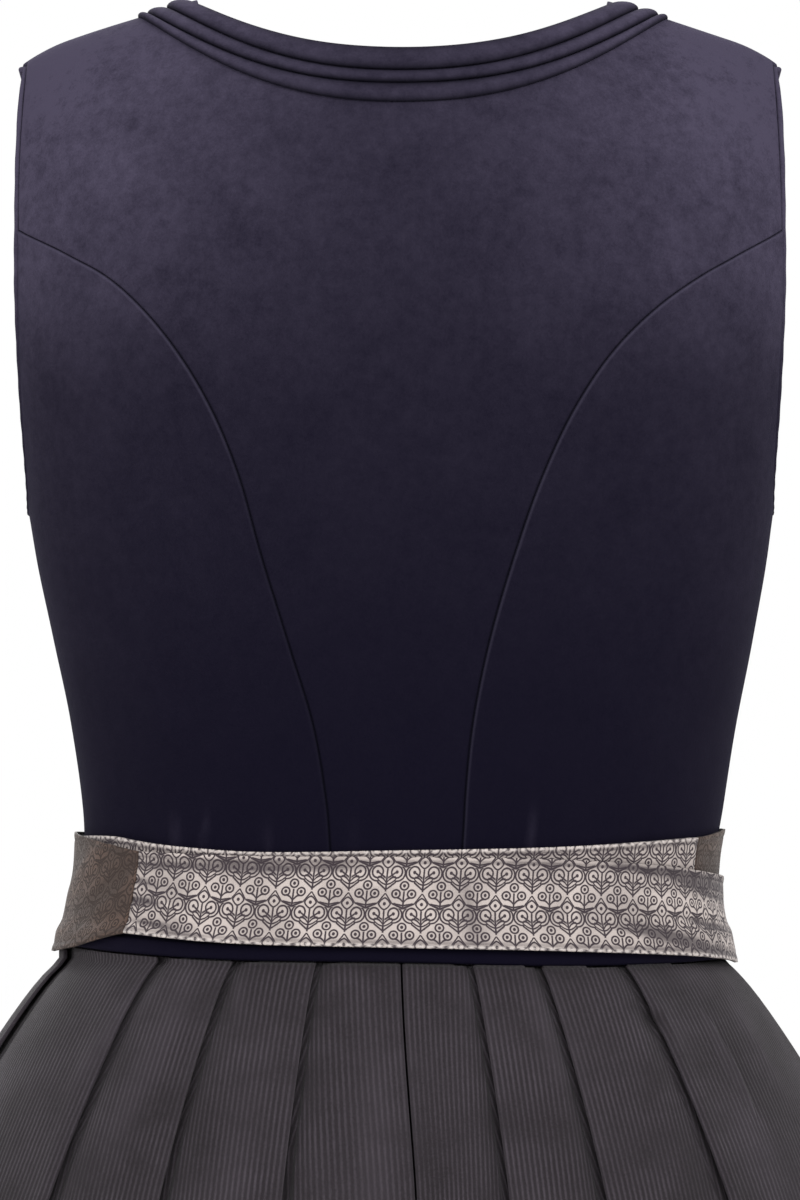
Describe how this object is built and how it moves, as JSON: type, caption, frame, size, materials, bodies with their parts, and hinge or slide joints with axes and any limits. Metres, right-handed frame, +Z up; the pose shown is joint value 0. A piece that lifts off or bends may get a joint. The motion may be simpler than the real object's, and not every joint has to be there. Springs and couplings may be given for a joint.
{
  "type": "dirndl",
  "caption": "Sleeveless velvet-bodice dirndl with knife-pleated midi skirt, gathered apron and a sash wrapped round the waist and tied in a bow, in its hollow worn form.",
  "frame": {"origin": "Midway between the two shoulder seams, level with them, where the wearer's shoulders carry the garment", "axes": "+Z up along the body; the front of the garment faces -Y; +X is the wearer's left"},
  "size_m": [0.7535, 0.6056, 1.1205],
  "materials": {
    "velvet": "navy velvet with a fine short nap",
    "skirt_cloth": "dark grey-brown cloth with a fine lighter rib",
    "dark_jacquard": "dark taupe satin jacquard with small tone-on-tone sprigs",
    "pale_jacquard": "pale beige-grey satin jacquard with small dark sprigs"
  },
  "bodies": {
    "root": {"bodice_back_centre": "velvet", "bodice_back_side_left": "velvet", "bodice_back_side_right": "velvet", "bodice_front_side_left": "velvet", "bodice_front_side_right": "velvet", "bodice_front_centre_left": "velvet", "bodice_front_centre_right": "velvet", "neck_band_inner": "velvet", "neck_band_middle": "velvet", "neck_band_outer": "velvet", "armhole_binding_left": "velvet", "armhole_binding_right": "velvet", "waist_binding": "velvet", "skirt_front": "skirt_cloth", "skirt_side_left": "skirt_cloth", "skirt_side_right": "skirt_cloth", "skirt_back_left": "skirt_cloth", "skirt_back_right": "skirt_cloth", "apron_waistband": "dark_jacquard", "apron_skirt": "dark_jacquard", "sash_inner_pass": "pale_jacquard", "sash_outer_pass": "pale_jacquard", "bow_knot": "pale_jacquard", "bow_loop_left": "pale_jacquard", "bow_loop_right": "pale_jacquard", "bow_tail_left": "pale_jacquard", "bow_tail_right": "pale_jacquard"}
  },
  "joints": []
}
